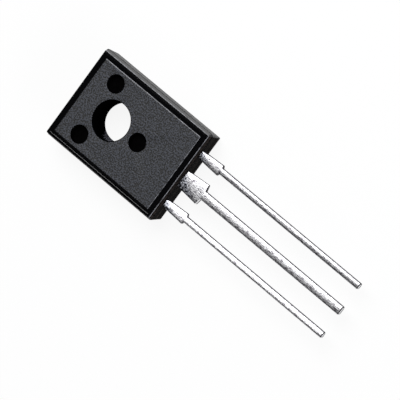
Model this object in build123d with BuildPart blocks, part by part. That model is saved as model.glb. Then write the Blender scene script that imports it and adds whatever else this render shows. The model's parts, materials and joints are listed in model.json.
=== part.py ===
from build123d import *
import math
import os

# A three-lead plastic power transistor lying on its back, in millimetres.
# The origin is on the screw hole's axis at the back face. +Z leaves the front face,
# +Y points to the top end and the leads run towards -Y.

# Case
body_width = 7.8          # across the leads, at the parting line
body_length = 10.7        # top end to lead end, at the parting line
parting_height = 1.85     # back face to parting line, level with the leads' front
front_half_height = 0.5   # parting line to polished border
face_step = 0.05          # matt face above the polished border
border_width = 0.45       # polished border around the matt face
edge_round = 0.06         # rounding of the border's outer edge
corner_round = 0.06       # upright corners, where the draft leaves them sharpest
back_draft = 5.0          # degrees, walls behind the parting line
front_draft = 16.0        # degrees, walls in front of it

# Screw hole
hole_diameter = 3.0
hole_to_top = 3.8         # hole axis to top end
hole_lining = 0.4         # plastic between the hole and the metal tab

# Round marks that the mould's pins leave in the face
mark_diameter = 1.4
mark_depth = 0.4
mark_side_offset = 2.3    # hole axis to each upper mark, across
mark_top_offset = 1.41    # hole axis to the upper marks, towards the top end
mark_lead_offset = 2.63   # hole axis to the lower mark, towards the leads

# Lead frame, stamped from one strip
strip_thickness = 0.5
lead_pitch = 2.2
lead_length = 15.55       # lead end of the case to the tips
side_lead_width = 0.49
middle_lead_width = 0.7
side_root_width = 0.65    # where the lead leaves the case
middle_root_width = 1.4
side_shoulder_width = 0.88
middle_shoulder_width = 1.7
shoulder_length = 1.9     # lead end of the case to the shoulders
shoulder_slant = 0.1      # fall of each shoulder towards the tip
tip_bevel = 0.1
lead_edge_round = 0.1     # front and back edges outside the case

# Tab that carries the chip, part of the middle lead's stamping
tab_width = 5.8
tab_rim = 0.6             # metal left between the tab's hole and its top edge
tab_to_lead_end = 1.8     # tab's lower edge to the lead end of the case
lock_step = 0.2           # step around the tab that keys it into the plastic
lock_height = 0.2
neck_flat = 0.35          # neck beyond the tab before it climbs
neck_run = 0.8            # length over which the neck climbs from tab to lead
neck_radius = 0.5         # neck's bends, at mid thickness

# Pads of the side leads inside the case
pad_length = 1.3
pad_to_lead_end = 0.6     # pad to the lead end of the case
pad_to_side = 0.6         # pad to the side of the case
pad_gap = 0.325           # pad to the collector's neck

# Chip, its solder and its wires
die_size = 1.3
die_thickness = 0.25
solder_thickness = 0.05
solder_margin = 0.1       # solder showing around the chip
wire_diameter = 0.25
wire_foot = 0.5           # length of wire pressed onto each pad
wire_bend = 0.3
foot_height_share = 0.35  # height of a foot's axis over its pad, per wire diameter
bond_place_share = 0.25   # wire's place on the chip from its middle, per chip size
loop_top_share = 0.3      # top of the loop, per height of the front half
loop_place_share = 0.6    # place of the loop's top along the wire's span

# Heights and places that follow from the sizes above
border_height = parting_height + front_half_height
body_thickness = border_height + face_step
lead_end = hole_to_top - body_length
body_middle = hole_to_top - body_length / 2
back_inset = parting_height * math.tan(math.radians(back_draft))
front_inset = front_half_height * math.tan(math.radians(front_draft))
parting_corner = corner_round + max(back_inset, front_inset)
face_inset = front_inset + border_width
lead_back = parting_height - strip_thickness
lead_middle = parting_height - strip_thickness / 2
shoulder_end = lead_end - shoulder_length
lead_tip = lead_end - lead_length
tab_hole_diameter = hole_diameter + 2 * hole_lining
tab_top = tab_hole_diameter / 2 + tab_rim
tab_bottom = lead_end + tab_to_lead_end
neck_foot = tab_bottom - neck_flat
neck_head = neck_foot - neck_run
tab_length = tab_top - tab_bottom
tab_middle = (tab_top + tab_bottom) / 2
pad_inner = middle_root_width / 2 + pad_gap
pad_outer = body_width / 2 - pad_to_side
pad_middle = (pad_inner + pad_outer) / 2
pad_centre_y = lead_end + pad_to_lead_end + pad_length / 2
die_centre_y = (tab_bottom - tab_hole_diameter / 2) / 2
solder_top = strip_thickness + solder_thickness
die_top = solder_top + die_thickness


def lead_blank(centre_x, lead_width, root_width, shoulder_width, inner_end):
    """Outline of one lead in plan, from inner_end inside the case out to its tip."""
    with BuildSketch(Plane((centre_x, 0, lead_back))) as blank:
        with BuildLine():
            Polyline(
                (0, inner_end),
                (root_width / 2, inner_end),
                (root_width / 2, lead_end),
                (shoulder_width / 2, shoulder_end),
                (lead_width / 2, shoulder_end - shoulder_slant),
                (lead_width / 2, lead_tip + tip_bevel),
                (lead_width / 2 - tip_bevel, lead_tip),
                (0, lead_tip),
            )
            mirror(about=Plane.YZ)
        make_face()
    return blank.sketch


def outer_outline(lead):
    """Front and back edges of a lead blank's outline outside the case."""
    outside = lead.edges().filter_by(lambda edge: edge.center().Y < lead_end)
    levels = outside.group_by(Axis.Z)
    return levels[0] + levels[-1]


# Emitter lead: a pad for the wire inside the case, then shoulder, shank and bevelled tip
with BuildPart() as emitter_lead:
    extrude(
        lead_blank(-lead_pitch, side_lead_width, side_root_width, side_shoulder_width, pad_centre_y),
        amount=strip_thickness,
    )
    fillet(outer_outline(emitter_lead), lead_edge_round)
    with BuildSketch(Plane((-pad_middle, pad_centre_y, lead_back))):
        Rectangle(pad_outer - pad_inner, pad_length)
    extrude(amount=strip_thickness)
emitter_lead.part.label = "emitter_lead"

# Base lead: the same blank turned over to the other side
with BuildPart() as base_lead:
    mirror(emitter_lead.part, about=Plane.YZ)
base_lead.part.label = "base_lead"

# Collector frame: the bare tab, a neck that climbs to the leads' level, and the middle lead
with BuildPart() as collector_frame:
    extrude(
        lead_blank(0, middle_lead_width, middle_root_width, middle_shoulder_width, neck_head),
        amount=strip_thickness,
    )
    fillet(outer_outline(collector_frame), lead_edge_round)
    with BuildSketch(Plane.XY):
        with Locations((0, tab_middle)):
            Rectangle(tab_width - 2 * lock_step, tab_length - 2 * lock_step)
    extrude(amount=strip_thickness)
    with BuildSketch(Plane.XY.offset(lock_height)):
        with Locations((0, tab_middle)):
            Rectangle(tab_width, tab_length)
    extrude(amount=strip_thickness - lock_height)
    with BuildSketch(Plane.XY):
        Circle(tab_hole_diameter / 2)
    extrude(amount=strip_thickness, mode=Mode.SUBTRACT)
    with BuildSketch(Plane.YZ):
        with BuildLine():
            FilletPolyline(
                (tab_bottom + lock_step, strip_thickness / 2),
                (neck_foot, strip_thickness / 2),
                (neck_head, lead_middle),
                (lead_end, lead_middle),
                radius=neck_radius,
            )
        trace(line_width=strip_thickness)
    extrude(amount=middle_root_width / 2, both=True)
collector_frame.part.label = "collector_frame"

# Solder layer and chip on the tab, between its hole and its lower edge
with BuildPart() as die_solder:
    with BuildSketch(Plane((0, die_centre_y, strip_thickness))):
        Rectangle(die_size + 2 * solder_margin, die_size + 2 * solder_margin)
    extrude(amount=solder_thickness)
die_solder.part.label = "die_solder"

with BuildPart() as silicon_die:
    with BuildSketch(Plane((0, die_centre_y, solder_top))):
        Rectangle(die_size, die_size)
    extrude(amount=die_thickness)
silicon_die.part.label = "silicon_die"

# Emitter wire: a loop in the upright plane through its two bonds, its feet pressed flat
bond_offset = bond_place_share * die_size
wire_start = Vector(-bond_offset, die_centre_y - bond_offset, 0)
wire_end = Vector(-pad_middle, pad_centre_y, 0)
wire_way = wire_end - wire_start
wire_span = wire_way.length
wire_plane = Plane(wire_start, x_dir=wire_way, z_dir=wire_way.cross(Vector(0, 0, 1)))
foot_height = foot_height_share * wire_diameter
loop_top = parting_height + loop_top_share * front_half_height

with BuildPart() as emitter_bond_wire:
    with BuildLine(wire_plane) as loop:
        FilletPolyline(
            (-wire_foot / 2, die_top + foot_height),
            (wire_foot / 2, die_top + foot_height),
            (loop_place_share * wire_span, loop_top),
            (wire_span - wire_foot / 2, parting_height + foot_height),
            (wire_span + wire_foot / 2, parting_height + foot_height),
            radius=wire_bend,
        )
    with BuildSketch(Plane(loop.line @ 0, z_dir=loop.line % 0)):
        Circle(wire_diameter / 2)
    sweep()
    add(silicon_die.part, mode=Mode.SUBTRACT)
    add(emitter_lead.part, mode=Mode.SUBTRACT)
emitter_bond_wire.part.label = "emitter_bond_wire"

with BuildPart() as base_bond_wire:
    mirror(emitter_bond_wire.part, about=Plane.YZ)
base_bond_wire.part.label = "base_bond_wire"

# Case: two drafted halves that meet at the parting line, moulded around everything inside
mark_places = [
    (-mark_side_offset, mark_top_offset),
    (mark_side_offset, mark_top_offset),
    (0, -mark_lead_offset),
]
moulded_in = [
    emitter_lead,
    base_lead,
    collector_frame,
    die_solder,
    silicon_die,
    emitter_bond_wire,
    base_bond_wire,
]

with BuildPart() as moulded_body:
    with BuildSketch(Plane((0, body_middle, parting_height))) as parting_outline:
        RectangleRounded(body_width, body_length, parting_corner)
    extrude(amount=front_half_height, taper=front_draft)
    fillet(moulded_body.faces().sort_by(Axis.Z)[-1].edges(), edge_round)
    extrude(parting_outline.sketch, amount=-parting_height, taper=back_draft)
    with BuildSketch(Plane((0, body_middle, border_height))):
        Rectangle(body_width - 2 * face_inset, body_length - 2 * face_inset)
    extrude(amount=face_step)
    with BuildSketch(Plane.XY):
        Circle(hole_diameter / 2)
    extrude(amount=body_thickness, mode=Mode.SUBTRACT)
    with BuildSketch(Plane.XY.offset(body_thickness)):
        with Locations(*mark_places):
            Circle(mark_diameter / 2)
    extrude(amount=-mark_depth, mode=Mode.SUBTRACT)
    for piece in moulded_in:
        add(piece.part, mode=Mode.SUBTRACT)
moulded_body.part.label = "moulded_body"

os.makedirs("parts", exist_ok=True)
for piece in [moulded_body, *moulded_in]:
    export_step(piece.part, f"parts/{piece.part.label}.step")
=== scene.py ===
# %% [markdown]
# A three-lead power transistor, dressed for a studio picture.
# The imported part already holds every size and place, so this lesson only gives the pieces their finish.
# What shows is a case moulded in black epoxy, three tinned leads and, in the back, the bare metal tab.

# %% Load the part
import json
import math

import bmesh
import bpy
from mathutils import Matrix, Vector


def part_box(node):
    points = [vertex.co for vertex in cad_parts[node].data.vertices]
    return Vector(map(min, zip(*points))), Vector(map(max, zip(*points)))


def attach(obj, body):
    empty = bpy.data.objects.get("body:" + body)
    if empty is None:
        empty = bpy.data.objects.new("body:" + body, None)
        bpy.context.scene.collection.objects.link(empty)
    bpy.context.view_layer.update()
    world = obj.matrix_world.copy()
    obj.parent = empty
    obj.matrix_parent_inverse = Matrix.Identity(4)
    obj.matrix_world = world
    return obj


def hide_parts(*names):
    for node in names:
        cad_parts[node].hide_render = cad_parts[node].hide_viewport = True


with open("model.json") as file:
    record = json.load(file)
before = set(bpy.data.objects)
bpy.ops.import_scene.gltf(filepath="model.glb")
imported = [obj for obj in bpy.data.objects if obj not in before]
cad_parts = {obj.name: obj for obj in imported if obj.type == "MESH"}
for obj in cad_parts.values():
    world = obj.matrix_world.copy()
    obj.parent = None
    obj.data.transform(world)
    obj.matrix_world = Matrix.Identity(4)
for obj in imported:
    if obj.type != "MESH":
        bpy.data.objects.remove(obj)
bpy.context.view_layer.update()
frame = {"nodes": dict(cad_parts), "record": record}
MM = 0.001
for name in sorted(frame["nodes"]):
    low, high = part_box(name)
    print(name, [round(side / MM, 3) for side in high - low], "mm")

# %% [markdown]
# Sizes that the part can tell are read from it, so a change there moves everything here.
# They could all be typed again, but two lists of sizes soon disagree.
# The origin is on the screw hole's axis at the back face, +Z leaves the front and the leads run towards -Y.
# Small sizes that no box shows, such as roundings and lead widths, are typed where they are used.

# %% Sizes read from the part
body_low, body_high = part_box("moulded_body")
lead_low, lead_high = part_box("emitter_lead")
body_width = body_high.x - body_low.x
body_length = body_high.y - body_low.y
body_middle = (body_high.y + body_low.y) / 2
face_height = body_high.z
parting_height = lead_high.z
strip_thickness = lead_high.z - lead_low.z
lead_end = body_low.y
lead_length = lead_end - lead_low.y
mounts = {mount["name"]: mount for mount in frame["record"]["mounts"]}
hole_radius = mounts["screw_hole"]["dims"]["r_mm"] * MM
print("case", [round(side / MM, 3) for side in (body_width, body_length, face_height)], "mm")

# %% [markdown]
# The case is built as rings of points that a skin joins, from its back to its face.
# A box with a bevel would be quicker, but the draft, the polished border and the raised face each need
# their own height and inset, and rings say those directly.
# A flat face with holes in it is filled between its rim and the rims of its holes.

# %% Rings and skins
CIRCLE_POINTS = 96
CORNER_STEPS = 8


def circle(radius, height, centre=(0, 0)):
    """Ring of points around an upright axis."""
    turns = [2 * math.pi * step / CIRCLE_POINTS for step in range(CIRCLE_POINTS)]
    return [(centre[0] + radius * math.cos(a), centre[1] + radius * math.sin(a), height) for a in turns]


def rounded_rectangle(inset, corner, height):
    """Ring of points around the case, drawn in from its parting line by inset."""
    points = []
    for quarter, (side, end) in enumerate([(1, 1), (-1, 1), (-1, -1), (1, -1)]):
        centre_x = side * (body_width / 2 - inset - corner)
        centre_y = body_middle + end * (body_length / 2 - inset - corner)
        for step in range(CORNER_STEPS + 1):
            angle = (quarter + step / CORNER_STEPS) * math.pi / 2
            points.append((centre_x + corner * math.cos(angle), centre_y + corner * math.sin(angle), height))
    return points


def skin(bm, rings):
    """Joins each ring to the next with four-sided faces and returns the first and last ring's vertices."""
    rows = [[bm.verts.new(point) for point in ring] for ring in rings]
    for lower, upper in zip(rows, rows[1:]):
        for k in range(len(lower)):
            bm.faces.new((lower[k - 1], lower[k], upper[k], upper[k - 1]))
    return rows[0], rows[-1]


def fill_between(bm, loops):
    """Flat face between the first loop of vertices and the loops inside it."""
    edges = [bm.edges.get((loop[k - 1], loop[k])) for loop in loops for k in range(len(loop))]
    bmesh.ops.triangle_fill(bm, use_beauty=True, use_dissolve=False, edges=edges)


print("circles of", CIRCLE_POINTS, "points, corners of", CORNER_STEPS, "steps")

# %% [markdown]
# The case is moulded in two halves that meet level with the leads' front, so its walls lean in both ways
# from that line. The front half of the mould is a hair smaller, so a narrow ledge follows the line and shows
# as a dark thread along the walls. Around the front runs a polished border: a rim that falls away outwards,
# and inside it a shallow channel, out of which the matt face rises a hair above the rim.
# A bump pattern could draw the ledge and the channel, but at a low angle only real steps catch the light.
# Every edge is a little round for the same reason: a dead sharp one would never show a bright line.

# %% Edge sizes of the case
face_step = 0.05 * MM
border_width = 0.45 * MM
rim_width = 0.2 * MM
rim_slope = math.radians(5)
channel_depth = 0.007 * MM
channel_flank = 0.016 * MM
edge_round = 0.06 * MM
hole_round = 0.07 * MM
rim_round = 0.02 * MM
corner_round = 0.06 * MM
parting_ledge = 0.025 * MM
ledge_rise = 0.001 * MM
front_draft = math.radians(16)
back_draft = math.radians(5)
border_height = face_height - face_step
back_inset = parting_height * math.tan(back_draft)
front_inset = (border_height - parting_height) * math.tan(front_draft)
parting_corner = corner_round + max(back_inset, front_inset)
face_inset = front_inset + border_width
front_lean = math.atan2(front_inset - parting_ledge, border_height - parting_height)
print("border", round(border_width / MM, 3), "mm wide,", round(face_step / MM, 3), "mm below the face")
print("walls in front of the parting line lean", round(math.degrees(front_lean), 1), "degrees")

# %% Rings of the outer skin
ROUND_STEPS = 6
FLANK_STEPS = 8


def rounded_edge(radius, first, last):
    """Steps along an arc from one angle to another: how far in from its axis and how far up."""
    angles = [first + (last - first) * step / ROUND_STEPS for step in range(ROUND_STEPS + 1)]
    return [(-radius * math.cos(angle), radius * math.sin(angle)) for angle in angles]


def wall_ring(height):
    """Ring on the wall behind the parting line at a height."""
    inset = (parting_height - height) * math.tan(back_draft)
    return rounded_rectangle(inset, parting_corner - inset, height)


# The outer edge's arc touches the leaning wall and the sloping rim, so its axis lies one radius inside both.
lean_rate = math.tan(front_lean)
slope_rate = math.tan(rim_slope)
crest_inset = front_inset + rim_width
edge_level = border_height - crest_inset * slope_rate - edge_round / math.cos(rim_slope)
wall_share = edge_round / math.cos(front_lean) + parting_ledge - parting_height * lean_rate
edge_axis_height = (edge_level + slope_rate * wall_share) / (1 - slope_rate * lean_rate)
edge_axis_inset = edge_axis_height * lean_rate + wall_share

outer_rings = [rounded_rectangle(back_inset + rim_round, corner_round, 0)]
outer_rings += [wall_ring(rim_round), wall_ring(parting_height)]
ledge_corner = parting_corner - parting_ledge
outer_rings.append(rounded_rectangle(parting_ledge, ledge_corner, parting_height + ledge_rise))
first_edge_ring = len(outer_rings)
for inward, upward in rounded_edge(edge_round, front_lean, math.pi / 2 - rim_slope):
    inset = edge_axis_inset + inward
    outer_rings.append(rounded_rectangle(inset, parting_corner - inset, edge_axis_height + upward))
# The channel's flank is an S-curve, level at both ends.
for step in range(FLANK_STEPS + 1):
    share = step / FLANK_STEPS
    inset = crest_inset + channel_flank * share
    height = border_height - channel_depth * (3 - 2 * share) * share**2
    outer_rings.append(rounded_rectangle(inset, corner_round, height))
face_round = face_step + channel_depth
for inward, upward in rounded_edge(face_round, 0, math.pi / 2):
    inset = face_inset + face_round + inward
    outer_rings.append(rounded_rectangle(inset, corner_round, face_height - face_round + upward))
print(len(outer_rings), "rings from the back to the face")

# %% [markdown]
# The screw hole goes right through. Three round pins held the frame in the mould, and each left a pocket in
# the face. Boolean cuts could make them, but rings join the flat face point to point and leave no slivers.
# Each has a rounded lip, which is wider at the hole.

# %% Hole and pin marks
mark_radius = 0.7 * MM
mark_depth = 0.4 * MM
mark_side_offset = 2.3 * MM
mark_top_offset = 1.41 * MM
mark_lead_offset = 2.63 * MM
mark_places = [(side * mark_side_offset, mark_top_offset) for side in (-1, 1)]
mark_places.append((0, -mark_lead_offset))


def lip(radius, edge, centre=(0, 0)):
    """Rings of the rounded lip where an upright wall leaves the face."""
    level = face_height - edge
    steps = rounded_edge(edge, math.pi / 2, 0)
    return [circle(radius + edge + inward, level + upward, centre) for inward, upward in steps]


case_bm = bmesh.new()
back_rim, face_rim = skin(case_bm, outer_rings)
hole_rings = lip(hole_radius, hole_round)
hole_rings += [circle(hole_radius, rim_round), circle(hole_radius + rim_round, 0)]
hole_front, hole_back = skin(case_bm, hole_rings)
face_loops = [face_rim, hole_front]
for place in mark_places:
    mark_rings = lip(mark_radius, rim_round, place) + [circle(mark_radius, face_height - mark_depth, place)]
    mark_front, mark_floor = skin(case_bm, mark_rings)
    case_bm.faces.new(mark_floor)
    face_loops.append(mark_front)
fill_between(case_bm, face_loops)
fill_between(case_bm, [back_rim, hole_back])
bmesh.ops.recalc_face_normals(case_bm, faces=case_bm.faces)
print("case shell", len(case_bm.faces), "faces,", round(case_bm.calc_volume() / MM**3, 2), "mm3")

# %% [markdown]
# Materials are small node trees. One function sets or links the sockets of a node, one adds a node, and one
# turns a colour as a screen shows it, in hexadecimal, into the linear values that light needs.
# Every pattern reads Object coordinates, which are metres here, so its scale is one over a real size.
# Painted image textures would do too, but a pattern from nodes has no seams and stays sharp close up.

# %% Helpers for materials


def colour(code):
    """Linear colour of a hexadecimal screen colour."""
    shares = [int(code[k:k + 2], 16) / 255 for k in (1, 3, 5)]
    linear = [s / 12.92 if s <= 0.04045 else ((s + 0.055) / 1.055) ** 2.4 for s in shares]
    return (*linear, 1)


def feed(tree, node, inputs):
    """Sets each socket of a node to its value, or links it to the output that feeds it."""
    for socket, value in inputs.items():
        if isinstance(value, bpy.types.NodeSocket):
            tree.links.new(value, node.inputs[socket])
        else:
            node.inputs[socket].default_value = value


def add_node(tree, kind, inputs=None, stops=(), **settings):
    """Adds one node with its settings; stops are the places and colours of a ramp."""
    node = tree.nodes.new(kind)
    for name, value in settings.items():
        setattr(node, name, value)
    for number, (position, code) in enumerate(stops):
        node.color_ramp.elements[number].position = position
        node.color_ramp.elements[number].color = colour(code)
    feed(tree, node, inputs or {})
    return node


def new_material(name, **sockets):
    """Material with one surface shader; returns it, its tree, the shader and Object coordinates."""
    material = bpy.data.materials.new(name)
    material.use_nodes = True
    tree = material.node_tree
    tree.nodes.clear()
    shader = add_node(tree, "ShaderNodeBsdfPrincipled", {k.replace("_", " "): v for k, v in sockets.items()})
    add_node(tree, "ShaderNodeOutputMaterial", {"Surface": shader.outputs["BSDF"]})
    place = add_node(tree, "ShaderNodeTexCoord").outputs["Object"]
    return material, tree, shader, place


def streak_pattern(tree, place, lengths, detail):
    """Pattern drawn out to a length along each axis, as grinding lines and rolled streaks are."""
    scales = [1 / length for length in lengths]
    stretch = add_node(tree, "ShaderNodeMapping", {"Vector": place, "Scale": scales})
    sources = {"Vector": stretch.outputs["Vector"], "Scale": 1.0, "Detail": detail}
    return add_node(tree, "ShaderNodeTexNoise", sources).outputs["Fac"]


print("a screen's middle grey is", round(colour("#808080")[0], 3), "in linear light")

# %% [markdown]
# The face of the case is black epoxy moulded against a spark-eroded steel plate. The plate's tiny craters
# come out as a fine even grain that scatters light, so the black reads as a soft cool grey with a speckle.
# Real craters are a few hundredths of a millimetre. They are drawn coarser, so that they show at all.
# One noise drives both the tone and the bump, because a crater's floor is also where less light gets out.

# %% Matt epoxy
EPOXY_IOR = 1.55
crater_size = 0.115 * MM
crater_depth = 0.02 * MM
matt_epoxy, tree, shader, place = new_material("matt_moulded_epoxy", Roughness=0.6, IOR=EPOXY_IOR)
craters = add_node(tree, "ShaderNodeTexNoise", {"Vector": place, "Scale": 1 / crater_size, "Detail": 0.0})
grain = craters.outputs["Fac"]
speckle = add_node(tree, "ShaderNodeValToRGB", {"Fac": grain}, stops=((0.43, "#010102"), (0.6, "#2e3139")))
relief = add_node(tree, "ShaderNodeBump", {"Height": grain, "Strength": 1.0, "Distance": crater_depth})
feed(tree, shader, {"Base Color": speckle.outputs["Color"], "Normal": relief.outputs["Normal"]})
print(matt_epoxy.name, "grain", round(crater_size / MM, 3), "mm")

# %% [markdown]
# The border and the walls are the same epoxy against polished steel, nearly black and glossy.
# The mould's walls were ground, and the grinding lines run level around them. Anisotropic gloss could hint at
# them, but a pattern that changes fast with height and slowly along the wall draws the lines themselves.
# Real lines are hundredths of a millimetre apart; they are drawn far coarser, so that they show.
# Behind the parting line the walls are less polished.

# %% Polished and ground epoxy
grinding_spacing = 0.6 * MM
grinding_run = 14 * MM
polished_depth = 0.001 * MM
ground_depth = 0.025 * MM
grinding_lengths = (grinding_run, grinding_run, grinding_spacing)


def ground_finish(name, code, smooth, rough, line_depth):
    """Black epoxy with level grinding lines, between two roughnesses."""
    material, tree, shader, place = new_material(name, Base_Color=colour(code), IOR=EPOXY_IOR)
    lines = streak_pattern(tree, place, grinding_lengths, detail=3.0)
    gloss = add_node(tree, "ShaderNodeMapRange", {
        "Value": lines, "From Min": 0.35, "From Max": 0.65, "To Min": smooth, "To Max": rough})
    relief = add_node(tree, "ShaderNodeBump", {"Height": lines, "Strength": 1.0, "Distance": line_depth})
    feed(tree, shader, {"Roughness": gloss.outputs["Result"], "Normal": relief.outputs["Normal"]})
    print(material.name, "roughness", smooth, "to", rough)
    return material


polished_epoxy = ground_finish("polished_moulded_epoxy", "#050506", 0.06, 0.16, polished_depth)
ground_epoxy = ground_finish("ground_moulded_epoxy", "#0a0a0b", 0.4, 0.7, ground_depth)

# %% [markdown]
# Handling rubs the sharp edges to a thin pale grey line, broken here and there. Only the edges that face the
# lamps get it, so the line is partly rubbed wear and partly a painted highlight.
# A shader could look for edges by their curvature, but that doesn't survive an export.
# Their rounds are narrow strips of faces, so they simply get a material of their own.

# %% Rubbed edges and painted highlight
rub_run = 0.35 * MM
rubbed_and_highlit_edge, tree, shader, place = new_material("rubbed_and_highlit_epoxy_edge", Roughness=0.35, IOR=EPOXY_IOR)
rubbing = add_node(tree, "ShaderNodeTexNoise", {"Vector": place, "Scale": 1 / rub_run, "Detail": 4.0})
# Pale grey: partly rubbed wear, partly a painted highlight on the edges that face the lamps.
wear_and_highlight_stops = ((0.3, "#1c1c1f"), (0.6, "#75767b"))
wear_and_highlight = add_node(tree, "ShaderNodeValToRGB", {"Fac": rubbing.outputs["Fac"]}, stops=wear_and_highlight_stops)
feed(tree, shader, {"Base Color": wear_and_highlight.outputs["Color"]})
print(rubbed_and_highlit_edge.name, "broken every", round(rub_run / MM, 3), "mm")

# %% [markdown]
# The end wall between the leads was scoured to clean off flash, and so was the emitter's side in front of the
# parting line. These walls are dull, with little gloss even at a low angle, and a trace of brown resin shows.
# A high roughness alone would still shine at a low angle, so the shine itself is turned down as well.
# The scour marks are mixed with the same level lines as on the other walls, and drawn coarser than real ones.

# %% Dull epoxy
scour_size = 0.16 * MM
scour_depth = 0.01 * MM
line_share = 0.6
dull_epoxy, tree, shader, place = new_material(
    "scoured_moulded_epoxy", IOR=EPOXY_IOR, Specular_IOR_Level=0.005)
lines = streak_pattern(tree, place, grinding_lengths, detail=3.0)
scouring = add_node(tree, "ShaderNodeTexNoise", {"Vector": place, "Scale": 1 / scour_size, "Detail": 3.0})
scour = scouring.outputs["Fac"]
streaked = add_node(tree, "ShaderNodeMix", {"Factor": line_share, "A": scour, "B": lines}, data_type="FLOAT")
resin_stops = ((0.46, "#050505"), (0.66, "#2f2a28"))
resin = add_node(tree, "ShaderNodeValToRGB", {"Fac": streaked.outputs["Result"]}, stops=resin_stops)
gloss = add_node(tree, "ShaderNodeMapRange", {"Value": scour, "To Min": 0.5, "To Max": 0.8})
relief = add_node(tree, "ShaderNodeBump", {"Height": scour, "Strength": 0.6, "Distance": scour_depth})
feed(tree, shader, {
    "Base Color": resin.outputs["Color"], "Roughness": gloss.outputs["Result"],
    "Normal": relief.outputs["Normal"]})
print(dull_epoxy.name, "grain", round(scour_size / MM, 3), "mm")

# %% [markdown]
# The hole's core leaves the resin itself at the surface, a dense black that hardly shines. Deep down, on the
# emitter's side, a patch of grey flecks is painted where the key lamp's light falls on the wall: painted
# light.
# The patch could be faces with a material of their own, but its edge would be too clean. A dot product with
# the patch's direction, multiplied by noise, fades it out in flecks.

# %% Core black with painted light
patch_size = 0.15 * MM
# Painted light where the key lamp lights the hole: towards the emitter's side, a little to the leads, and
# down.
painted_light_towards = (-0.966, -0.259, -0.3)
painted_light_first = 0.42 * hole_radius
painted_light_full = 0.72 * hole_radius
core_epoxy, tree, shader, place = new_material(
    "core_moulded_epoxy", Roughness=0.7, IOR=EPOXY_IOR, Specular_IOR_Level=0.0)
painted_light_noise = add_node(tree, "ShaderNodeTexNoise", {"Vector": place, "Scale": 1 / patch_size, "Detail": 4.0})
nearness = add_node(tree, "ShaderNodeVectorMath", {0: place, 1: painted_light_towards}, operation="DOT_PRODUCT")
near_painted_light = add_node(tree, "ShaderNodeMapRange", {
    "Value": nearness.outputs["Value"], "From Min": painted_light_first, "From Max": painted_light_full})
shown = add_node(tree, "ShaderNodeMath", {
    0: painted_light_noise.outputs["Fac"], 1: near_painted_light.outputs["Result"]}, operation="MULTIPLY")
# Grey flecks of painted light on the black.
painted_light_stops = ((0.38, "#020202"), (0.62, "#62636b"))
flecks = add_node(tree, "ShaderNodeValToRGB", {"Fac": shown.outputs["Value"]}, stops=painted_light_stops)
feed(tree, shader, {"Base Color": flecks.outputs["Color"]})
print(core_epoxy.name, "flecks", round(patch_size / MM, 3), "mm")

# %% [markdown]
# The pins' pockets are the same dense black without the patch. A plain colour would do from far off, and a
# faint unevenness of tone keeps them from looking like paint close up.

# %% Pin black
pin_epoxy, tree, shader, place = new_material(
    "pin_moulded_epoxy", Roughness=0.6, IOR=EPOXY_IOR, Specular_IOR_Level=0.0)
unevenness = add_node(tree, "ShaderNodeTexNoise", {"Vector": place, "Scale": 1 / patch_size, "Detail": 2.0})
tone = add_node(tree, "ShaderNodeMix", {
    "Factor": unevenness.outputs["Fac"], "A": colour("#010101"), "B": colour("#080708")}, data_type="RGBA")
feed(tree, shader, {"Base Color": tone.outputs["Result"]})
print(pin_epoxy.name, "on", len(mark_places), "pin marks")

# %% [markdown]
# The leads are copper alloy strip with a coat of tin, a pale metal. Rolling and dipping leave streaks along
# the strip, finer than the eye can part, so they are drawn coarser. Near the case, where flash was cleaned
# off, the coat is blotchy and dark in spots.
# The blotches could be a separate piece of the lead, but their edge runs slantwise across each lead, so the
# material works it out from X and Y. X is wrapped at the lead pitch, so one material serves all three.

# %% Bright tin, its streaks
streak_width = 0.08 * MM
streak_run = 0.3 * MM
streak_depth = 0.005 * MM
bright_tin, tree, shader, place = new_material("bright_tin_coat", Metallic=1.0)
streaks = streak_pattern(tree, place, (streak_width, streak_run, streak_width), detail=2.0)
tarnish = add_node(tree, "ShaderNodeValToRGB", {"Fac": streaks}, stops=((0.32, "#938e97"), (0.56, "#ebebed")))
gloss = add_node(tree, "ShaderNodeMapRange", {"Value": streaks, "To Min": 0.24, "To Max": 0.44})
relief = add_node(tree, "ShaderNodeBump", {"Height": streaks, "Strength": 1.0, "Distance": streak_depth})
feed(tree, shader, {"Roughness": gloss.outputs["Result"], "Normal": relief.outputs["Normal"]})
print(bright_tin.name, "streaks", round(streak_width / MM, 3), "mm wide")

# %% Bright tin, its blotches near the case
lead_pitch = 2.2 * MM
blotch_size = 0.13 * MM
blotch_place = 0.45 * MM
blotch_slant = 0.75
blotch_fade = 0.25 * MM
blotch_edge = -blotch_slant * lead_end + blotch_place
axes = add_node(tree, "ShaderNodeSeparateXYZ", {"Vector": place}).outputs
across = add_node(tree, "ShaderNodeMath", {
    0: axes["X"], 1: -lead_pitch / 2, 2: lead_pitch / 2}, operation="WRAP")
slanted = add_node(tree, "ShaderNodeMath", {
    0: axes["Y"], 1: -blotch_slant, 2: across.outputs["Value"]}, operation="MULTIPLY_ADD")
near_case = add_node(tree, "ShaderNodeMapRange", {
    "Value": slanted.outputs["Value"],
    "From Min": blotch_edge + blotch_fade, "From Max": blotch_edge - blotch_fade})
outside_case = add_node(tree, "ShaderNodeMapRange", {
    "Value": axes["Y"], "From Min": lead_end + blotch_place, "From Max": lead_end})
spotted = add_node(tree, "ShaderNodeMath", {
    0: near_case.outputs["Result"], 1: outside_case.outputs["Result"]}, operation="MULTIPLY")
blotches = add_node(tree, "ShaderNodeTexNoise", {"Vector": place, "Scale": 1 / blotch_size, "Detail": 2.0})
blotch_stops = ((0.42, "#262830"), (0.6, "#d0d3dc"))
blotched = add_node(tree, "ShaderNodeValToRGB", {"Fac": blotches.outputs["Fac"]}, stops=blotch_stops)
tone = add_node(tree, "ShaderNodeMix", {
    "Factor": spotted.outputs["Value"], "A": tarnish.outputs["Color"], "B": blotched.outputs["Color"]},
    data_type="RGBA")
feed(tree, shader, {"Base Color": tone.outputs["Result"]})
print(bright_tin.name, "blotches", round(blotch_size / MM, 3), "mm")
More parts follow.
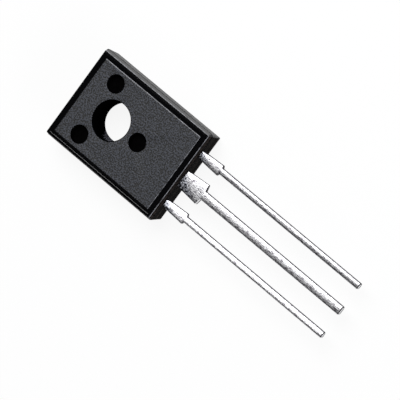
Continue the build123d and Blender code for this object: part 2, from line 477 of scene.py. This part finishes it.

# %% [markdown]
# The sides of a stamped lead are sheared and rough across the strip, and their dark grey is painted:
# it stands in for the shade beside the lead that they mirror, a painted dark reflection.
# Darker tin over the whole lead would lose the bright fronts, so the sides get a finish of their own.
# Its marks run through the strip, the way the punch went, and are drawn coarser than real ones.

# %% Sheared sides, painted dark
shear_spacing = 0.05 * MM
sheared_side_dark_reflection, tree, shader, place = new_material("sheared_strip_side_dark_reflection", Metallic=1.0, Roughness=0.5)
shear = streak_pattern(tree, place, (shear_spacing, shear_spacing, strip_thickness), detail=2.0)
# Painted dark reflection: two dark tones where the sides mirror the shade beside the lead.
tone = add_node(tree, "ShaderNodeMix", {
    "Factor": shear, "A": colour("#161517"), "B": colour("#434245")}, data_type="RGBA")
feed(tree, shader, {"Base Color": tone.outputs["Result"]})
print(sheared_side_dark_reflection.name, "marks", round(shear_spacing / MM, 3), "mm apart")

# %% [markdown]
# The ends were cut last and took no coat. The punch burnishes the first part of its way through the strip and
# tears the rest, so each end is bright towards the front and dark towards the back.
# Two materials would meet in a straight line; adding noise to the height makes the line ragged.

# %% Sheared ends
torn_band = 0.24 * MM
torn_height = parting_height - strip_thickness + torn_band
ragged = 0.06 * MM
sheared_end, tree, shader, place = new_material("sheared_strip_end", Metallic=1.0, Roughness=0.4)
height = add_node(tree, "ShaderNodeSeparateXYZ", {"Vector": place}).outputs["Z"]
tearing = add_node(tree, "ShaderNodeTexNoise", {"Vector": place, "Scale": 1 / shear_spacing})
wandering = add_node(tree, "ShaderNodeMath", {
    0: tearing.outputs["Fac"], 1: ragged, 2: height}, operation="MULTIPLY_ADD")
burnished = add_node(tree, "ShaderNodeMapRange", {
    "Value": wandering.outputs["Value"], "From Min": torn_height, "From Max": torn_height + ragged})
tone = add_node(tree, "ShaderNodeMix", {
    "Factor": burnished.outputs["Result"], "A": colour("#29282a"), "B": colour("#e6e6e8")}, data_type="RGBA")
feed(tree, shader, {"Base Color": tone.outputs["Result"]})
print(sheared_end.name, "torn below", round(torn_height / MM, 2), "mm")

# %% [markdown]
# All three leads follow one rule: a section of strip with rounded edges runs from inside the case to the tip,
# and only its width changes at a few stations. They could be modelled one by one, but a rule is a job for
# Geometry Nodes: stations make a curve, a square section is swept along it, and the flats are then stretched
# to the width at each place while the rounded edges keep their radius.
# The faces are a little crowned, as a dipped coat of tin leaves them. The crown's crest leans to one side
# where the lead is wide, and handling has twisted each lead a little, which moves the crest as well.

# %% The lead's node tree
lead_numbers = [
    "Inner Length", "Root Width", "Shoulder Width", "Shank Width", "Shoulder Length", "Shoulder Slant",
    "Lead Length", "Tip Round", "Thickness", "Edge Round", "Crown Share", "Crown Lean", "Twist Lean",
]
lead_inputs = {name: "NodeSocketFloat" for name in lead_numbers}
lead_inputs.update({"Place": "NodeSocketVector", "Coat": "NodeSocketMaterial"})
lead_tree = bpy.data.node_groups.new("stamped_lead", "GeometryNodeTree")
lead_tree.interface.new_socket("Geometry", in_out="OUTPUT", socket_type="NodeSocketGeometry")
socket_of = {
    name: lead_tree.interface.new_socket(name, in_out="INPUT", socket_type=kind).identifier
    for name, kind in lead_inputs.items()
}
given = add_node(lead_tree, "NodeGroupInput").outputs
known = {name: given[name] for name in lead_inputs}
print("lead tree with", len(socket_of), "inputs")

# %% [markdown]
# The stations are worked out inside the tree, so that a change of an input moves them. Each row below is one
# Math node: the name of its result, what it does, and the two names or numbers it works on. A station is how
# far out it lies, its width, and how far the outline is drawn in there, which rounds the tip.

# %% Stations along the lead
TIP_STEPS = 6
station_sums = [
    ("Inner Reach", "MULTIPLY", "Inner Length", -1.0),
    ("Shoulder Foot", "ADD", "Shoulder Length", "Shoulder Slant"),
]
stations = [
    ("Inner Reach", "Root Width", 0.0),
    (0.0, "Root Width", 0.0),
    ("Shoulder Length", "Shoulder Width", 0.0),
    ("Shoulder Foot", "Shank Width", 0.0),
]
for step in range(TIP_STEPS + 1):
    angle = step / TIP_STEPS * math.pi / 2
    station_sums += [
        (f"Tip Gap {step}", "MULTIPLY", "Tip Round", 1 - math.sin(angle)),
        (f"Tip Inset {step}", "MULTIPLY", "Tip Round", 1 - math.cos(angle)),
        (f"Tip Reach {step}", "SUBTRACT", "Lead Length", f"Tip Gap {step}"),
    ]
    stations.append((f"Tip Reach {step}", "Shank Width", f"Tip Inset {step}"))
for name, operation, first, second in station_sums:
    operands = {0: known.get(first, first), 1: known.get(second, second)}
    known[name] = add_node(lead_tree, "ShaderNodeMath", operands, operation=operation).outputs["Value"]
print(len(stations), "stations from", len(station_sums), "sums")

# %% Curve through the stations
RUN_CUTS = 12
kept_names = ("Width", "Drawn In")
number = add_node(lead_tree, "GeometryNodeInputIndex").outputs["Index"]
picked = {}
for column, name in enumerate(("Reach", *kept_names)):
    switch = add_node(lead_tree, "GeometryNodeIndexSwitch", {"Index": number}, data_type="FLOAT")
    while len(switch.index_switch_items) < len(stations):
        switch.index_switch_items.new()
    column_values = [known.get(station[column], station[column]) for station in stations]
    feed(lead_tree, switch, {str(k): value for k, value in enumerate(column_values)})
    picked[name] = switch
outwards = add_node(lead_tree, "ShaderNodeMath", {
    0: picked["Reach"].outputs[0], 1: -1.0}, operation="MULTIPLY")
station_place = add_node(lead_tree, "ShaderNodeCombineXYZ", {"Y": outwards.outputs["Value"]})
line = add_node(lead_tree, "GeometryNodeMeshLine", {"Count": len(stations)})
station_points = add_node(lead_tree, "GeometryNodeSetPosition", {
    "Geometry": line.outputs["Mesh"], "Position": station_place.outputs["Vector"]})
kept = add_node(lead_tree, "GeometryNodeCaptureAttribute", {"Geometry": station_points.outputs["Geometry"]})
for name in kept_names:
    kept.capture_items.new("FLOAT", name)
feed(lead_tree, kept, {name: picked[name].outputs[0] for name in kept_names})
known.update({name: kept.outputs[name] for name in kept_names})
centre_line = add_node(lead_tree, "GeometryNodeMeshToCurve", {"Mesh": kept.outputs["Geometry"]})
fine_line = add_node(lead_tree, "GeometryNodeSubdivideCurve", {
    "Curve": centre_line.outputs["Curve"], "Cuts": RUN_CUTS})
print("each stretch between stations cut", RUN_CUTS, "times")

# %% Section swept along them
SECTION_CUTS = 3
EDGE_STEPS = 6
square = add_node(lead_tree, "GeometryNodeCurvePrimitiveQuadrilateral", {
    "Width": given["Thickness"], "Height": given["Thickness"]})
rounded = add_node(lead_tree, "GeometryNodeFilletCurve", {
    "Curve": square.outputs["Curve"], "Radius": given["Edge Round"], "Count": EDGE_STEPS}, mode="POLY")
section = add_node(lead_tree, "GeometryNodeSubdivideCurve", {
    "Curve": rounded.outputs["Curve"], "Cuts": SECTION_CUTS})
swept = add_node(lead_tree, "GeometryNodeCurveToMesh", {
    "Curve": fine_line.outputs["Curve"], "Profile Curve": section.outputs["Curve"], "Fill Caps": True})
print("section's edges rounded in", EDGE_STEPS, "steps")

# %% [markdown]
# The sweep leaves a square bar. To widen it without touching its rounded edges, a point's X is split into the
# part on the flat, which is stretched, and the part beyond it, which is only moved. Scaling the whole bar
# would be simpler, but its edges would grow with it. The crown then lowers each point by the square of its
# distance from the crest.

# %% Flats stretched to the width, faces crowned
position = add_node(lead_tree, "GeometryNodeInputPosition").outputs["Position"]
here = add_node(lead_tree, "ShaderNodeSeparateXYZ", {"Vector": position}).outputs
known.update({"Here X": here["X"], "Here Z": here["Z"]})
shape_sums = [
    ("Half Width", "MULTIPLY", "Width", 0.5),
    ("Half Thickness", "MULTIPLY", "Thickness", 0.5),
    ("Half Flat", "SUBTRACT", "Half Thickness", "Edge Round"),
    ("Flat Start", "MULTIPLY", "Half Flat", -1.0),
    ("From Start", "MAXIMUM", "Here X", "Flat Start"),
    ("On Flat", "MINIMUM", "From Start", "Half Flat"),
    ("Beyond Flat", "SUBTRACT", "Here X", "On Flat"),
    ("Wide Half Flat", "SUBTRACT", "Half Width", "Edge Round"),
    ("Stretch", "DIVIDE", "Wide Half Flat", "Half Flat"),
    ("Stretched", "MULTIPLY", "On Flat", "Stretch"),
    ("Across", "ADD", "Stretched", "Beyond Flat"),
    ("Width Ratio", "DIVIDE", "Width", "Shank Width"),
    ("Widening", "SUBTRACT", "Width Ratio", 1.0),
    ("Wide Lean", "MULTIPLY", "Crown Lean", "Widening"),
    ("Lean", "ADD", "Wide Lean", "Twist Lean"),
    ("Across Share", "DIVIDE", "Across", "Half Width"),
    ("From Crest", "ADD", "Across Share", "Lean"),
    ("From Crest Squared", "MULTIPLY", "From Crest", "From Crest"),
    ("Fall", "MULTIPLY", "From Crest Squared", "Crown Share"),
    ("Height Share", "SUBTRACT", 1.0, "Fall"),
    ("Crowned Height", "MULTIPLY", "Here Z", "Height Share"),
    ("Tip Half Width", "SUBTRACT", "Half Width", "Drawn In"),
    ("Narrowing", "DIVIDE", "Tip Half Width", "Half Width"),
    ("Tip Half Thickness", "SUBTRACT", "Half Thickness", "Drawn In"),
    ("Thinning", "DIVIDE", "Tip Half Thickness", "Half Thickness"),
    ("Shaped X", "MULTIPLY", "Across", "Narrowing"),
    ("Shaped Z", "MULTIPLY", "Crowned Height", "Thinning"),
]
for name, operation, first, second in shape_sums:
    operands = {0: known.get(first, first), 1: known.get(second, second)}
    known[name] = add_node(lead_tree, "ShaderNodeMath", operands, operation=operation).outputs["Value"]
print(len(shape_sums), "sums shape the section")

# %% Lead placed and coated
shaped_place = add_node(lead_tree, "ShaderNodeCombineXYZ", {
    "X": known["Shaped X"], "Y": here["Y"], "Z": known["Shaped Z"]})
shaped = add_node(lead_tree, "GeometryNodeSetPosition", {
    "Geometry": swept.outputs["Mesh"], "Position": shaped_place.outputs["Vector"]})
placed = add_node(lead_tree, "GeometryNodeTransform", {
    "Geometry": shaped.outputs["Geometry"], "Translation": given["Place"]})
realized = add_node(lead_tree, "GeometryNodeRealizeInstances", {"Geometry": placed.outputs["Geometry"]})
coated = add_node(lead_tree, "GeometryNodeSetMaterial", {
    "Geometry": realized.outputs["Geometry"], "Material": given["Coat"]})
add_node(lead_tree, "NodeGroupOutput", {"Geometry": coated.outputs["Geometry"]})
print("lead tree", len(lead_tree.nodes), "nodes")

# %% [markdown]
# Inside the case the side leads end in a pad for a bond wire, and the middle one climbs down to the tab.
# That half of each stamping is already right in the part, so it isn't built again: a copy of it is merged,
# cut off just inside the case and united with the lead that the tree makes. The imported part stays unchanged.

# %% Helpers that join and cut


def new_object(name, data):
    """Object at the origin, linked to the scene."""
    thing = bpy.data.objects.new(name, data)
    bpy.context.scene.collection.objects.link(thing)
    return thing


def settle(thing):
    """Turns an object's modifiers into plain mesh."""
    bpy.context.view_layer.update()
    mesh = bpy.data.meshes.new_from_object(thing.evaluated_get(bpy.context.evaluated_depsgraph_get()))
    thing.modifiers.clear()
    thing.data = mesh


def combine(thing, others, operation):
    """Adds other objects to a thing, or cuts them out of it, and removes them."""
    for other in others:
        modifier = thing.modifiers.new(operation.lower(), "BOOLEAN")
        modifier.operation = operation
        modifier.solver = "EXACT"
        # Slower, but without it the cut leaves faces across a lead's slot.
        modifier.use_self = True
        modifier.object = other
    settle(thing)
    for other in others:
        bpy.data.objects.remove(other)


print("Booleans are exact and allow for faces that touch themselves")

# %% Helpers that copy and shade
SHARP_ANGLE = math.radians(18)
LEVEL_SLOPE = 0.9999
merge_gap = 0.0005 * MM


def inner_half(node, cut_place):
    """Copy of a node of the part with its loose triangles joined, cut off at a place along Y."""
    bm = bmesh.new()
    bm.from_mesh(frame["nodes"][node].data)
    bmesh.ops.remove_doubles(bm, verts=bm.verts, dist=merge_gap)
    everything = [*bm.verts, *bm.edges, *bm.faces]
    cut = {"plane_co": (0, cut_place, 0), "plane_no": (0, 1, 0), "clear_inner": True}
    bmesh.ops.bisect_plane(bm, geom=everything, **cut)
    bmesh.ops.holes_fill(bm, edges=[edge for edge in bm.edges if edge.is_boundary])
    mesh = bpy.data.meshes.new(node + "_copy")
    bm.to_mesh(mesh)
    bm.free()
    mesh.materials.clear()
    return new_object(node + "_copy", mesh)


def shade(thing):
    """Smooth shading that stops at real edges; faces that lie level stay flat."""
    for face in thing.data.polygons:
        face.use_smooth = abs(face.normal.z) < LEVEL_SLOPE
    thing.data.set_sharp_from_angle(angle=SHARP_ANGLE)
    modifier = thing.modifiers.new("weighted_normal", "WEIGHTED_NORMAL")
    modifier.keep_sharp = True
    settle(thing)


print("edges sharper than", round(math.degrees(SHARP_ANGLE)), "degrees stay sharp")

# %% [markdown]
# The way a face of a lead is turned tells its finish: fronts and backs are coated, sides are sheared and
# get a painted dark reflection, and ends are burnished and torn with a line of that painted dark around.
# Each shoulder's end counts as one only on the emitter's side; on the other side it gets the sides' painted
# dark.
# The faces could be picked by hand, but a rule works for all three leads and after every change of size.

# %% Finishes of a lead's faces
SIDE_SLOPE = 0.5
END_SLOPE = 0.3
END_EDGE_SLOPE = 0.25
lead_finishes = [bright_tin, sheared_side_dark_reflection, sheared_end]


def lead_finish(face, lead_middle):
    """Material of a face of the lead whose middle is at an X place."""
    middle, facing = face.center, face.normal
    if middle.y >= lead_end:
        return bright_tin
    at_tip = middle.y < lead_low.y + strip_thickness
    if facing.y < -END_SLOPE and (at_tip or middle.x < lead_middle):
        on_edge = facing.z > END_EDGE_SLOPE or abs(facing.x) > END_EDGE_SLOPE
        # End edges and the far shoulder ends get the sides' painted dark.
        return sheared_side_dark_reflection if on_edge else sheared_end
    return sheared_side_dark_reflection if abs(facing.z) < SIDE_SLOPE else bright_tin


print("leads have", len(lead_finishes), "finishes")

# %% The three leads
cut_inside = 0.3 * MM
overlap = 0.15 * MM
lead_height = parting_height - strip_thickness / 2
shared = {
    "Inner Length": cut_inside + overlap, "Shoulder Length": 1.9 * MM, "Shoulder Slant": 0.1 * MM,
    "Lead Length": lead_length, "Tip Round": 0.09 * MM, "Thickness": strip_thickness, "Edge Round": 0.1 * MM,
    "Crown Share": 0.11, "Crown Lean": 0.35, "Coat": bright_tin,
}
side_widths = {"Root Width": 0.65 * MM, "Shoulder Width": 0.88 * MM, "Shank Width": 0.49 * MM}
middle_widths = {"Root Width": 1.4 * MM, "Shoulder Width": 1.7 * MM, "Shank Width": 0.7 * MM}
tinned = {}
for node, steps, widths, twist_lean in (
    ("emitter_lead", -1, side_widths, 0.6),
    ("collector_frame", 0, middle_widths, 0.3),
    ("base_lead", 1, side_widths, 0.1),
):
    piece = new_object(node + "_tinned", bpy.data.meshes.new(node + "_tinned"))
    modifier = piece.modifiers.new("stamped_lead", "NODES")
    modifier.node_group = lead_tree
    lead_place = (steps * lead_pitch, lead_end, lead_height)
    for name, value in {**shared, **widths, "Twist Lean": twist_lean, "Place": lead_place}.items():
        modifier[socket_of[name]] = value
    settle(piece)
    combine(piece, [inner_half(node, lead_end + cut_inside)], "UNION")
    # The tree has already given the lead its tin.
    for finish in lead_finishes[1:]:
        piece.data.materials.append(finish)
    for face in piece.data.polygons:
        face.material_index = lead_finishes.index(lead_finish(face, steps * lead_pitch))
    shade(piece)
    tinned[node] = piece
    print(piece.name, len(piece.data.polygons), "faces")

# %% [markdown]
# Each face of the case gets its finish from its place and the way it faces: matt on the front and the back,
# black in the hole and the pin marks, dull on the scoured walls, pale on the rubbed edges that face the lamps,
# which is partly a painted highlight, and otherwise ground behind the parting line and polished in front of
# it.
# Picking them by hand would have to be done again after every change of size.

# %% Finishes of the case's faces
FLAT_SLOPE = 0.999
WALL_SLOPE = 0.9
LAMP_FACING_SLOPE = 0.2
case_finishes = [polished_epoxy, matt_epoxy, ground_epoxy, dull_epoxy, rubbed_and_highlit_edge, core_epoxy, pin_epoxy]
points_around = len(outer_rings[0])
first_edge_face = first_edge_ring * points_around
edge_faces = range(first_edge_face, first_edge_face + ROUND_STEPS * points_around)


def case_finish(face):
    """Material of a face of the case."""
    middle, facing = face.center, face.normal
    on_front = facing.z > FLAT_SLOPE and middle.z > face_height - rim_round
    if on_front or facing.z < -FLAT_SLOPE:
        return matt_epoxy
    if math.hypot(middle.x, middle.y) < hole_radius + hole_round:
        return core_epoxy
    if any(math.dist(middle[:2], place) < mark_radius + rim_round for place in mark_places):
        return pin_epoxy
    end_wall = facing.y < -WALL_SLOPE and middle.y < lead_end + back_inset
    emitter_wall = facing.x < -WALL_SLOPE and middle.z > parting_height
    if (end_wall or emitter_wall) and middle.z < edge_axis_height:
        return dull_epoxy
    # Only edges that face the lamps get the pale line, which makes it partly a painted highlight.
    lamp_facing_side = facing.x > LAMP_FACING_SLOPE or facing.y < -LAMP_FACING_SLOPE
    if lamp_facing_side and (middle.z > border_height or face.index in edge_faces):
        return rubbed_and_highlit_edge
    return ground_epoxy if middle.z < parting_height else polished_epoxy


print("outer edge has", len(edge_faces), "faces")

# %% [markdown]
# The epoxy flows around the lead frame, so the case is the shell minus the three stampings.
# A cut like that leaves a true window for the tab in the back and a slot for each lead in the end wall, which
# separate openings, drawn by hand, would only fit roughly.
# The tab lies flush in the back, and a cut between two flush faces is never sure, so the cutters reach out
# a little further.

# %% The case
flush_gap = 0.001 * MM
case_mesh = bpy.data.meshes.new("moulded_case")
case_bm.to_mesh(case_mesh)
case_bm.free()
case = new_object("moulded_case", case_mesh)
for finish in case_finishes:
    case.data.materials.append(finish)
for face in case.data.polygons:
    face.material_index = case_finishes.index(case_finish(face))
cutters = []
for node, piece in tinned.items():
    cutter = new_object(node + "_cutter", piece.data.copy())
    cutter.data.materials.clear()
    for vertex in cutter.data.vertices:
        if vertex.co.z < flush_gap:
            vertex.co.z -= overlap
    cutters.append(cutter)
combine(case, cutters, "DIFFERENCE")
shade(case)
print(case.name, len(case.data.polygons), "faces,", [m.name for m in case.data.materials])

# %% [markdown]
# Chip, solder and wires are sealed inside, so the part's own solids stay and only get their materials:
# polished silicon with its faint bluish tone, grey solder with a dull skin, and drawn aluminium wire.
# All three are metals to the eye with a slight unevenness, so one loop makes them from a small table: the
# nodes, a dark and a pale tone, the roughness and the size of the unevenness.

# %% Materials of the sealed pieces
inner_looks = {
    "polished_silicon": (["silicon_die"], "#4a4b55", "#5b5d6a", 0.15, 0.4 * MM),
    "lead_solder": (["die_solder"], "#8b8b8d", "#a5a5a6", 0.45, 0.2 * MM),
    "drawn_aluminium": (["emitter_bond_wire", "base_bond_wire"], "#cfcfd2", "#e2e2e4", 0.3, 0.05 * MM),
}
for name, (nodes, dark, pale, roughness, grain_size) in inner_looks.items():
    material, tree, shader, place = new_material(name, Metallic=1.0, Roughness=roughness)
    unevenness = add_node(tree, "ShaderNodeTexNoise", {"Vector": place, "Scale": 1 / grain_size})
    tone = add_node(tree, "ShaderNodeMix", {
        "Factor": unevenness.outputs["Fac"], "A": colour(dark), "B": colour(pale)}, data_type="RGBA")
    feed(tree, shader, {"Base Color": tone.outputs["Result"]})
    for node in nodes:
        materials = frame["nodes"][node].data.materials
        materials.clear()
        materials.append(material)
    print(material.name, "on", nodes)

# %% [markdown]
# Each finished piece is told which body it rides on, which solid it stands for and which slot of the
# record its finish belongs to. Nothing moves here, so there is one body.

# %% Pieces joined to the part
for node, piece in {**tinned, "moulded_body": case}.items():
    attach(piece, "root")
    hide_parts(node)
print("pieces", sorted(piece.name for piece in [*tinned.values(), case]))

# %% [markdown]
# The picture is taken from the lead end, high up, with the camera turned so that the leads run down to
# the right. A short lens close by would spread the leads apart; a long one from about thirty centimetres
# keeps the edges almost parallel.

# %% Camera
IMAGE_SIDE = 400
azimuth = math.radians(28.65)
elevation = math.radians(68.03)
roll = math.radians(-80.48)
aim = Vector((-1.204, -7.446, -2.403)) * MM
distance = 299.1 * MM
nearest_seen = 10 * MM
focal_pixels = 4075.8


def turned(right, back):
    """Rotation of a camera or a lamp that looks away from back, with right to its right."""
    return Matrix((right, back.cross(right), back)).transposed().to_4x4()


level_reach = math.cos(elevation)
back = Vector((math.sin(azimuth) * level_reach, -math.cos(azimuth) * level_reach, math.sin(elevation)))
level = Vector((math.cos(azimuth), math.sin(azimuth), 0))
right = math.cos(roll) * level + math.sin(roll) * back.cross(level)
camera_data = bpy.data.cameras.new("camera")
camera_data.lens = focal_pixels * camera_data.sensor_width / IMAGE_SIDE
camera_data.clip_start = nearest_seen
camera = new_object("camera", camera_data)
camera.matrix_world = Matrix.Translation(aim + distance * back) @ turned(right, back)
bpy.context.scene.camera = camera
print("camera", [round(v / MM, 1) for v in camera.location], "mm, lens", round(camera_data.lens, 1))

# %% [markdown]
# The floor is plain white card. Part of its light is its own, for what the camera and reflections see,
# so that it comes out white, and the rest is lit by the lamps and keeps the shadow of the part.
# More lamp light would whiten it too, but it would wash out the part.

# %% Floor
floor_gap = 0.01 * MM
floor_half = 400 * MM
own_light = 0.9
floor_mesh = bpy.data.meshes.new("floor")
corners = [(-1, -1), (1, -1), (1, 1), (-1, 1)]
floor_mesh.from_pydata([(x * floor_half, y * floor_half, -floor_gap) for x, y in corners], [], [(0, 1, 2, 3)])
floor = new_object("floor", floor_mesh)
card = bpy.data.materials.new("white_card")
card.use_nodes = True
tree = card.node_tree
tree.nodes.clear()
ray = add_node(tree, "ShaderNodeLightPath").outputs
seen = ray["Is Camera Ray"]
for kind in ("Is Glossy Ray", "Is Transmission Ray"):
    seen = add_node(tree, "ShaderNodeMath", {0: seen, 1: ray[kind]}, operation="MAXIMUM").outputs["Value"]
glowing = add_node(tree, "ShaderNodeMath", {0: seen, 1: own_light}, operation="MULTIPLY")
lit = add_node(tree, "ShaderNodeBsdfDiffuse", {"Color": colour("#e8e8e8")})
glow = add_node(tree, "ShaderNodeEmission", {"Color": colour("#ffffff"), "Strength": 1.0})
mixed = add_node(tree, "ShaderNodeMixShader", {
    0: glowing.outputs["Value"], 1: lit.outputs["BSDF"], 2: glow.outputs["Emission"]})
add_node(tree, "ShaderNodeOutputMaterial", {"Surface": mixed.outputs["Shader"]})
floor_mesh.materials.append(card)
print("floor", round(2 * floor_half / MM), "mm square")

# %% [markdown]
# A large soft lamp on the base lead's side gives the light its direction, and the edges and leads that face
# it mirror it as bright lines. A low strip lamp at the lead end lights the end wall. It is kept out of
# reflections, because the leads and the border would mirror it as a glare from behind.
# A sun lamp would be simpler, but it is too small in a mirror to draw a line along a lead.

# %% Lamps
# A lamp's sides, across and along, are in millimetres.
lamps = {
    "key_softbox": {
        "towards": (0.45, 0.36, 0.82), "across": 180, "along": 230, "radiance": 5.0, "mirrored": True},
    "lead_end_strip": {
        "towards": (-0.18, -0.92, 0.35), "across": 200, "along": 70, "radiance": 6.0, "mirrored": False},
}
lamp_distance = 250 * MM
# An area lamp's radiance is its watts divided by this many times its area.
AREA_FACTOR = 4
for name, lamp in lamps.items():
    towards = Vector(lamp["towards"]).normalized()
    across = (Vector((1, 0, 0)) - towards * towards.x).normalized()
    light = bpy.data.lights.new(name, "AREA")
    light.shape = "RECTANGLE"
    light.size = lamp["across"] * MM
    light.size_y = lamp["along"] * MM
    light.energy = AREA_FACTOR * light.size * light.size_y * lamp["radiance"]
    thing = new_object(name, light)
    thing.visible_glossy = lamp["mirrored"]
    thing.matrix_world = Matrix.Translation(lamp_distance * towards) @ turned(across, towards)
    print(name, [round(v / MM) for v in thing.location], "mm", round(light.energy, 3), "W")

# %% [markdown]
# The studio around is pale near the floor and dark overhead, which is what keeps the polished border black,
# and it is dimmer on the side away from the light. A photographed surrounding would do the same, but two
# ramps on the direction need no file.

# %% Surroundings
lit_towards = (1.0, -0.8, 0.0)
world = bpy.data.worlds.new("studio")
bpy.context.scene.world = world
world.use_nodes = True
tree = world.node_tree
tree.nodes.clear()
direction = add_node(tree, "ShaderNodeTexCoord").outputs["Generated"]
upward = add_node(tree, "ShaderNodeSeparateXYZ", {"Vector": direction}).outputs["Z"]
overhead = add_node(tree, "ShaderNodeValToRGB", {"Fac": upward}, stops=((0.25, "#eceff6"), (0.7, "#1c1c1e")))
lit_side = add_node(tree, "ShaderNodeVectorMath", {0: direction, 1: lit_towards}, operation="DOT_PRODUCT")
sideways = add_node(tree, "ShaderNodeMapRange", {
    "Value": lit_side.outputs["Value"], "From Min": -0.8, "From Max": 0.2, "To Min": 0.12, "To Max": 1.0})
sky = add_node(tree, "ShaderNodeBackground", {
    "Color": overhead.outputs["Color"], "Strength": sideways.outputs["Result"]})
add_node(tree, "ShaderNodeOutputWorld", {"Surface": sky.outputs["Background"]})
print("surroundings", len(tree.nodes), "nodes")

# %% [markdown]
# Last, colours are shown as they are, the box of the dressed part is written beside that of the bare one,
# and the frame is checked.

# %% Finish
bpy.context.scene.view_settings.view_transform = "Standard"
